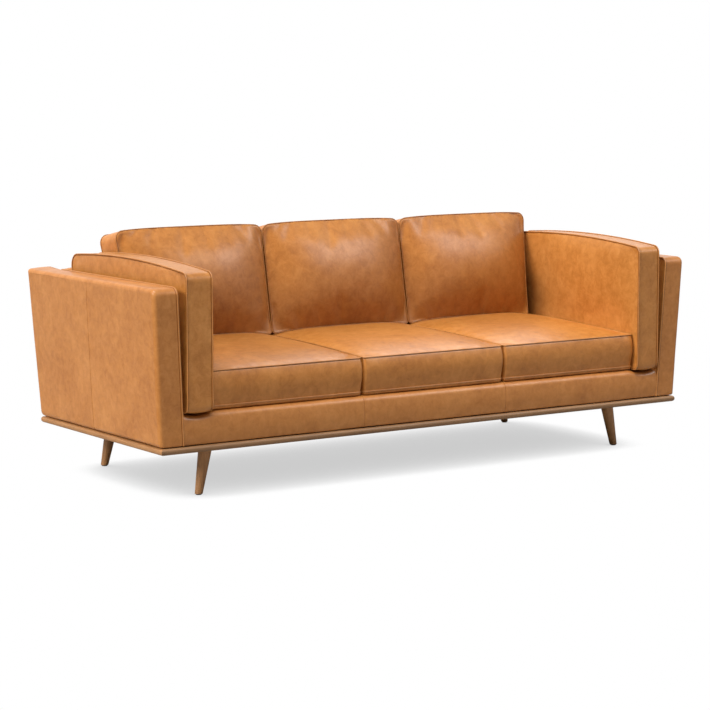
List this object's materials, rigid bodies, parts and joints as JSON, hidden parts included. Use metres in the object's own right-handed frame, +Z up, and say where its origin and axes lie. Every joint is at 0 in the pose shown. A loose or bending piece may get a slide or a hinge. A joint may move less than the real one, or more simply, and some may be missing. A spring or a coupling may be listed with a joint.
{
  "type": "sofa",
  "caption": "Leather sofa with loose boxed seat, back and arm cushions in a low flared tub, on a wooden plinth with splayed tapered legs.",
  "frame": {"origin": "on the floor, under the middle of the sofa's overall box", "axes": "+X along the sofa to the right of someone who faces it, +Y to its back, +Z up"},
  "size_m": [2.2484, 0.9122, 0.8479],
  "materials": {
    "legs_and_plinth": "walnut-stained hardwood, satin lacquer",
    "frame_timber": "raw softwood and plywood",
    "zinc_steel": "zinc plated",
    "glide_plastic": "moulded nylon",
    "webbing": "woven elastic webbing",
    "lining_cloth": "plain black lining cloth",
    "cover_leather": "tan aniline leather over padding, satin",
    "cushion_leather": "tan aniline leather over foam, satin"
  },
  "bodies": {
    "sofa_body": {"plinth_front_rail": "legs_and_plinth", "plinth_rear_rail": "legs_and_plinth", "plinth_left_rail": "legs_and_plinth", "plinth_right_rail": "legs_and_plinth", "leg_front_left": "legs_and_plinth", "leg_front_right": "legs_and_plinth", "leg_rear_left": "legs_and_plinth", "leg_rear_right": "legs_and_plinth", "leg_rail_left": "frame_timber", "leg_rail_right": "frame_timber", "seat_frame_front_rail": "frame_timber", "seat_frame_rear_rail": "frame_timber", "seat_frame_left_rail": "frame_timber", "seat_frame_right_rail": "frame_timber", "seat_frame_cross_rails": "frame_timber", "seat_frame_corner_blocks": "frame_timber", "back_top_rail": "frame_timber", "back_uprights": "frame_timber", "left_side_board": "frame_timber", "left_side_posts": "frame_timber", "left_side_bottom_rail": "frame_timber", "left_side_top_rail": "frame_timber", "right_side_board": "frame_timber", "right_side_posts": "frame_timber", "right_side_bottom_rail": "frame_timber", "right_side_top_rail": "frame_timber", "leg_plates": "zinc_steel", "hanger_bolts": "zinc_steel", "leg_glides": "glide_plastic", "seat_webbing": "webbing", "back_webbing": "webbing", "deck_pad": "lining_cloth", "dust_cover": "lining_cloth", "left_side_outer_cover": "cover_leather", "left_side_inner_cover": "cover_leather", "right_side_outer_cover": "cover_leather", "right_side_inner_cover": "cover_leather", "back_outer_cover": "cover_leather", "back_inner_cover": "cover_leather", "front_rail_cover": "cover_leather"},
    "seat_cushion_left": {"seat_cushion_left": "cushion_leather"},
    "seat_cushion_middle": {"seat_cushion_middle": "cushion_leather"},
    "seat_cushion_right": {"seat_cushion_right": "cushion_leather"},
    "back_cushion_left": {"back_cushion_left": "cushion_leather"},
    "back_cushion_middle": {"back_cushion_middle": "cushion_leather"},
    "back_cushion_right": {"back_cushion_right": "cushion_leather"},
    "arm_cushion_left": {"arm_cushion_left": "cushion_leather"},
    "arm_cushion_right": {"arm_cushion_right": "cushion_leather"}
  },
  "joints": [
    {"name": "seat_cushion_left_pull", "type": "slide", "parent": "sofa_body", "child": "seat_cushion_left", "axis": [0, -1, 0], "range_m": [0, 0.3]},
    {"name": "seat_cushion_middle_pull", "type": "slide", "parent": "sofa_body", "child": "seat_cushion_middle", "axis": [0, -1, 0], "range_m": [0, 0.3]},
    {"name": "seat_cushion_right_pull", "type": "slide", "parent": "sofa_body", "child": "seat_cushion_right", "axis": [0, -1, 0], "range_m": [0, 0.3]},
    {"name": "back_cushion_left_lift", "type": "slide", "parent": "sofa_body", "child": "back_cushion_left", "axis": [0, 0, 1], "range_m": [0, 0.3]},
    {"name": "back_cushion_middle_lift", "type": "slide", "parent": "sofa_body", "child": "back_cushion_middle", "axis": [0, 0, 1], "range_m": [0, 0.3]},
    {"name": "back_cushion_right_lift", "type": "slide", "parent": "sofa_body", "child": "back_cushion_right", "axis": [0, 0, 1], "range_m": [0, 0.3]},
    {"name": "arm_cushion_left_lift", "type": "slide", "parent": "sofa_body", "child": "arm_cushion_left", "axis": [0, 0, 1], "range_m": [0, 0.42]},
    {"name": "arm_cushion_right_lift", "type": "slide", "parent": "sofa_body", "child": "arm_cushion_right", "axis": [0, 0, 1], "range_m": [0, 0.42]}
  ]
}
